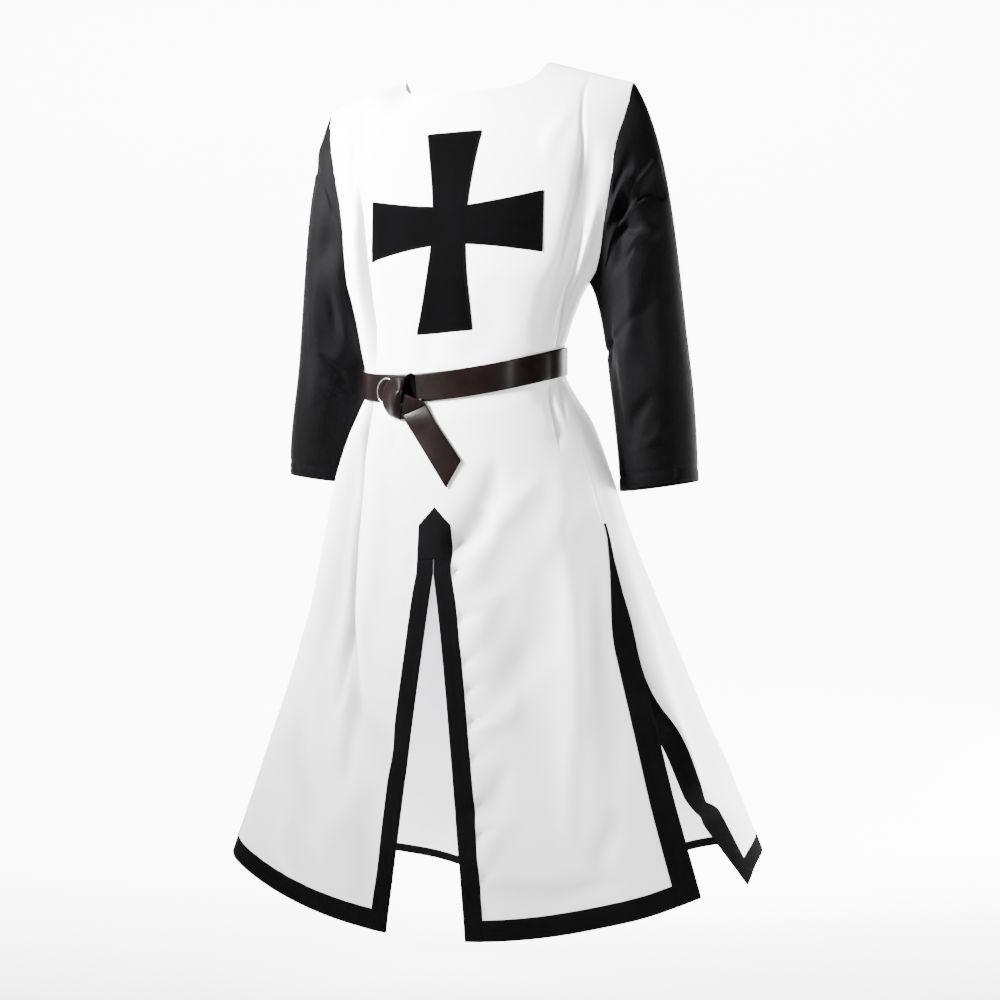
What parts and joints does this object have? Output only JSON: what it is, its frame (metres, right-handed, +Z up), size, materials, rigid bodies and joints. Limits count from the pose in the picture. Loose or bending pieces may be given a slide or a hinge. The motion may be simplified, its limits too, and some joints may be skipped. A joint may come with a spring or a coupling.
{
  "type": "medieval surcoat",
  "caption": "Knee-length white surcoat with black three-quarter sleeves, a flared black cross, black bands round a slit skirt and a leather ring belt knotted at the front.",
  "frame": {"origin": "between the two neck points of the shoulder seams, where the wearer's shoulders hold the garment", "axes": "+Z up along the garment's length; the front faces -Y; +X is the wearer's left"},
  "size_m": [0.6701, 0.4334, 1.1199],
  "materials": {
    "white_cloth": "smooth matt woven cloth",
    "black_cloth": "smooth woven cloth with a soft satin sheen",
    "brown_leather": "smooth polished leather",
    "ring_steel": "polished bright metal"
  },
  "bodies": {
    "root": {"back_panel": "white_cloth", "belt_ring": "ring_steel", "belt_strap": "brown_leather", "belt_tail": "brown_leather", "belt_tie": "brown_leather", "cross": "black_cloth", "front_panel": "white_cloth", "front_placket": "black_cloth", "hem_band_back": "black_cloth", "hem_band_front_left": "black_cloth", "hem_band_front_right": "black_cloth", "side_band_back_left": "black_cloth", "side_band_back_right": "black_cloth", "side_band_front_left": "black_cloth", "side_band_front_right": "black_cloth", "sleeve_left": "black_cloth", "sleeve_right": "black_cloth", "slit_band_left": "black_cloth", "slit_band_right": "black_cloth"}
  },
  "joints": []
}
